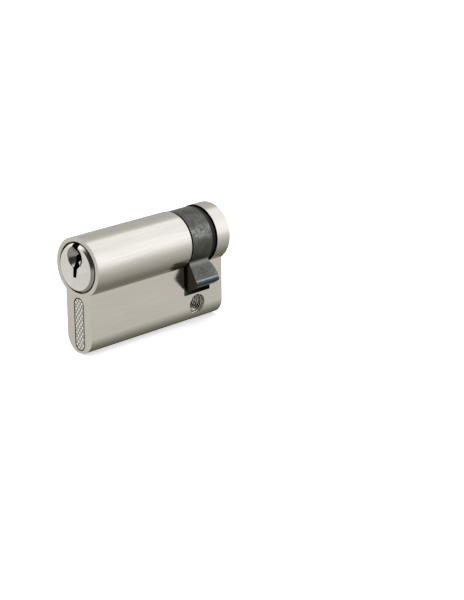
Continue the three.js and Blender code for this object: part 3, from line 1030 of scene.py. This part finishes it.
def make_key_pin(index, material):
    """A turned pin with a cone on top, where the key's cuts meet it."""
    node = f"key_pin_{index + 1}"
    low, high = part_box(node)
    r = (high.x - low.x) / 2
    rounded = PIN_CHAMFER * 0.3
    crown_r, crown_fall = KEY_PIN_TIP_R + 0.1 * MM, 0.14 * MM
    rings = [(r - PIN_CHAMFER, low.z), (r - rounded, low.z + rounded), (r, low.z + PIN_CHAMFER)]
    rings += [(r, high.z - KEY_PIN_CONE), (crown_r, high.z - crown_fall), (KEY_PIN_TIP_R - 0.05 * MM, high.z)]
    piece = post(f"{node}_turned", rings, y=middle_y(low, high), sides=PIN_SIDES)
    soften(piece, KEY_PIN_EDGE, 2, PIN_EDGE_ANGLE)
    shade(piece)
    return place(piece, node, "pin_brass", material, node)


def make_driver_pin(index, material):
    """A spool pin: a waist between two heads."""
    node = f"driver_pin_{index + 1}"
    low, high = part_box(node)
    r = (high.x - low.x) / 2
    middle = (low.z + high.z) / 2
    rings = [
        (r - PIN_CHAMFER, low.z), (r, low.z + PIN_CHAMFER),
        (r, middle - WAIST_HALF_OUT), (r - WAIST_DEPTH, middle - WAIST_HALF),
        (r - WAIST_DEPTH, middle + WAIST_HALF), (r, middle + WAIST_HALF_OUT),
        (r, high.z - PIN_CHAMFER), (r - PIN_CHAMFER, high.z)]
    piece = post(f"{node}_turned", rings, y=middle_y(low, high), sides=PIN_SIDES)
    soften(piece, DRIVER_PIN_EDGE, 2, PIN_EDGE_ANGLE)
    shade(piece)
    return place(piece, node, "spring_steel", material, node)


def coil_height(t, bottom, top):
    """The wire's height after t turns: the first and last turns lie closed."""
    closed = 2 * WIRE_R + COIL_GAP
    if t < 1:
        return bottom + closed * t
    if t > COIL_TURNS - 1:
        return top - closed * (COIL_TURNS - t)
    return bottom + closed + (top - bottom - 2 * closed) * (t - 1) / (COIL_TURNS - 2)


def make_spring(index, material):
    """A compression spring with a closed turn at each end."""
    node = f"spring_{index + 1}"
    low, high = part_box(node)
    y = middle_y(low, high)
    bottom, top = low.z + WIRE_R, high.z - WIRE_R
    steps = COIL_TURNS * COIL_STEPS
    vertices = []
    for k in range(steps + 1):
        t = COIL_TURNS * k / steps
        a = TURN * t
        out = Vector((math.cos(a), math.sin(a), 0))
        centre = Vector((0, y, coil_height(t, bottom, top))) + out * COIL_R
        for i in range(WIRE_SIDES):
            b = TURN * i / WIRE_SIDES
            vertices.append(centre + out * (WIRE_R * math.cos(b)) + Vector((0, 0, WIRE_R * math.sin(b))))
    piece = mesh_object(f"{node}_wire", vertices, stacked_faces(steps + 1, WIRE_SIDES))
    shade(piece)
    place(piece, "housing", "spring_steel", material, node)
    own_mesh(piece)
    return piece


# ---- Studio ----

CAMERA_AZIMUTH = math.radians(44.55)
CAMERA_ELEVATION = math.radians(18.21)
CAMERA_ROLL = math.radians(-0.52)
CAMERA_DISTANCE = 516.2 * MM
CAMERA_AIM = Vector((16.40, 2.58, 3.02)) * MM
CAMERA_LENS = 109.9
CAMERA_SENSOR = 36
CAMERA_NEAR = 10 * MM


def make_camera():
    az, el = CAMERA_AZIMUTH, CAMERA_ELEVATION
    back = Vector((math.sin(az) * math.cos(el), -math.cos(az) * math.cos(el), math.sin(el)))
    level = Vector((0, 0, 1)).cross(back).normalized()
    rise = back.cross(level)
    right = level * math.cos(CAMERA_ROLL) + rise * math.sin(CAMERA_ROLL)
    up = rise * math.cos(CAMERA_ROLL) - level * math.sin(CAMERA_ROLL)
    data = bpy.data.cameras.new("camera")
    data.lens = CAMERA_LENS
    data.sensor_width = CAMERA_SENSOR
    data.clip_start = CAMERA_NEAR
    camera = new_object("camera", data)
    turn = Matrix((right, up, back)).transposed().to_4x4()
    camera.matrix_world = Matrix.Translation(CAMERA_AIM + back * CAMERA_DISTANCE) @ turn
    bpy.context.scene.camera = camera


# The studio's brightness round the barrel: degrees from +X towards +Z, and how bright it is there.
SURROUND = [
    (-180, 0.40), (-164, 0.10), (-144, 0.06), (-123, 0.11), (-108, 0.18), (-91, 0.23),
    (-75, 0.30), (-59, 0.44), (-43, 0.56), (-27, 0.72), (-10, 0.97), (5, 1.36),
    (22, 1.46), (38, 1.44), (54, 1.32), (71, 1.28), (87, 1.34), (103, 1.30),
    (110, 0.82), (119, 0.72), (135, 0.63), (151, 0.60), (167, 0.58), (180, 0.40)]
SHADE_TINT = (1.0, 1.0, 0.86)
SHADE_BELOW = 0.4
ROOM_TINT = (1.0, 1.0, 1.0)
WINDOW_TINT = (1.0, 1.015, 1.10)
WINDOW_ABOVE = 1.1

# In front of the object the light is even. It blends into the rest over this much of the direction's Y.
FRONT_LIGHT = 0.79
FRONT_BLEND = 0.35

# Soft zones, one over the other: where each one is, how near to that it starts and is full, and its
# brightness. A table in front, a window up on the left, a pale wall on the left, and a dark room on the
# camera's side.
ZONES = [
    ((0.20, -0.45, -0.87), (0.45, 0.75), 0.30),
    ((-0.60, -0.35, 0.72), (0.55, 0.85), 1.2),
    ((-0.97, 0.22, 0.02), (0.88, 0.93), 1.25),
    ((0.62, -0.56, 0.55), (0.50, 0.90), 0.04)]


def surround_color(value, peak):
    tint = ROOM_TINT
    if value < SHADE_BELOW:
        tint = SHADE_TINT
    elif value >= WINDOW_ABOVE:
        tint = WINDOW_TINT
    return tuple(value / peak * part for part in tint)


class Surround(Nodes):
    """The world's node tree."""

    def __init__(self, world):
        world.use_nodes = True
        super().__init__(world.node_tree)
        self.background = self.tree.nodes["Background"]

    def nearness(self, direction, side):
        node = self.add("ShaderNodeVectorMath", operation="DOT_PRODUCT")
        self.link(direction, node.inputs[0])
        node.inputs[1].default_value = Vector(side).normalized()
        return node.outputs["Value"]

    def soft_step(self, value, low, high):
        return self.remap(value, low, high, interpolation_type="SMOOTHSTEP")


def make_world():
    world = bpy.data.worlds.new("studio")
    bpy.context.scene.world = world
    n = Surround(world)
    direction = n.add("ShaderNodeTexCoord").outputs["Generated"]
    split = n.add("ShaderNodeSeparateXYZ")
    n.link(direction, split.inputs[0])
    x, y, z = split.outputs
    peak = max(value for _, value in SURROUND) * max(WINDOW_TINT)
    stops = [((degrees + 180) / 360, surround_color(value, peak)) for degrees, value in SURROUND]
    round_barrel = n.ramp(n.remap(n.math("ARCTAN2", z, x), -math.pi, math.pi), stops)
    light = n.mix(n.soft_step(y, -FRONT_BLEND, FRONT_BLEND), FRONT_LIGHT / peak, round_barrel)
    for side, near, level in ZONES:
        light = n.mix(n.soft_step(n.nearness(direction, side), *near), light, level / peak)
    seen = n.add("ShaderNodeLightPath").outputs["Is Camera Ray"]
    n.link(n.mix(seen, light, 1.0 / peak), n.background.inputs["Color"])
    n.background.inputs["Strength"].default_value = peak


FLOOR_SIZE = 6.0
FLOOR_GAP = 0.02 * MM


def make_floor():
    size = FLOOR_SIZE
    corners = [(-size, -size, 0), (size, -size, 0), (size, size, 0), (-size, size, 0)]
    floor = mesh_object("floor", corners, [(0, 1, 2, 3)])
    floor.location.z = STEM_BOTTOM - FLOOR_GAP
    floor.data.materials.append(pale_floor())
    floor.visible_glossy = False


LIGHT_SIZE = 0.9
LIGHT_POWER = 5.0
LIGHT_PLACE = (0.1, -0.1, 1.0)


def make_lights():
    data = bpy.data.lights.new("overhead", "AREA")
    data.shape = "DISK"
    data.size = LIGHT_SIZE
    data.energy = LIGHT_POWER
    light = new_object("overhead", data)
    light.location = LIGHT_PLACE
    light.visible_glossy = False


# ---- The object ----

make_camera()
make_world()
make_floor()
make_lights()
bpy.context.scene.view_settings.view_transform = "Standard"

nickel = satin_nickel()
turned = turned_nickel()
steel = dark_steel()
wire = spring_steel()
brass = pin_brass()

make_housing(nickel)
make_plug(turned)
make_clip(wire)
make_coupling(wire)
make_cam(steel)
for i in range(PIN_COUNT):
    make_chamber_plug(i, nickel)
    make_key_pin(i, brass)
    make_driver_pin(i, wire)
    make_spring(i, wire)
